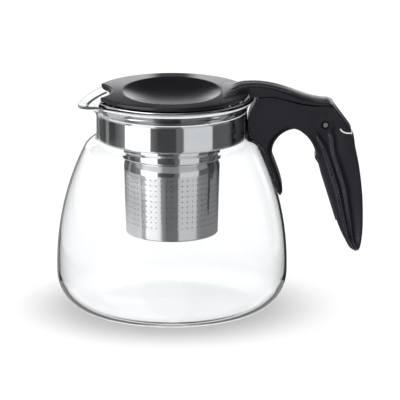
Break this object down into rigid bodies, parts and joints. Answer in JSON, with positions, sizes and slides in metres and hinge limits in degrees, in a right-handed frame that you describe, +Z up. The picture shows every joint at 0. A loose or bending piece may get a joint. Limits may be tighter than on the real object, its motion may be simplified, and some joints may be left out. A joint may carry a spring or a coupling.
{
  "type": "glass teapot",
  "caption": "Round glass teapot with a pulled spout, a steel infuser basket in its neck, and a black lid on a lever arm that tips up on a pin in the pistol-grip handle.",
  "frame": {"origin": "centre of the jug's flat base, on the axis of its neck", "axes": "+Z up along the jug's axis, +X towards the handle, so the spout points to -X"},
  "size_m": [0.1993, 0.15, 0.1504],
  "materials": {
    "jug_glass": "clear borosilicate, fire-polished",
    "polished_steel": "mirror-polished stainless sheet",
    "basket_steel": "bright drawn stainless sheet, perforated",
    "lid_black": "satin moulded plastic",
    "arm_black": "smooth moulded plastic",
    "handle_black": "satin moulded plastic",
    "pin_steel": "plain turned steel",
    "clear_silicone": "cured black silicone"
  },
  "bodies": {
    "jug": {"glass_jug": "jug_glass", "handle_body": "handle_black", "grip_insert": "handle_black", "saddle_pad": "clear_silicone", "hinge_pin": "pin_steel"},
    "infuser": {"infuser_collar": "polished_steel", "infuser_basket": "basket_steel", "basket_floor": "basket_steel"},
    "lid": {"lid_cover": "lid_black", "lid_liner": "lid_black", "lid_screws": "pin_steel", "lid_arm": "arm_black"}
  },
  "joints": [
    {"name": "infuser_lift", "type": "slide", "parent": "jug", "child": "infuser", "axis": [0, 0, 1], "range_m": [0, 0.11]},
    {"name": "lid_hinge", "type": "hinge", "parent": "infuser", "child": "lid", "pos_m": [0.0996, 0, 0.1236], "axis": [0, 1, 0], "range_deg": [0, 75]}
  ]
}
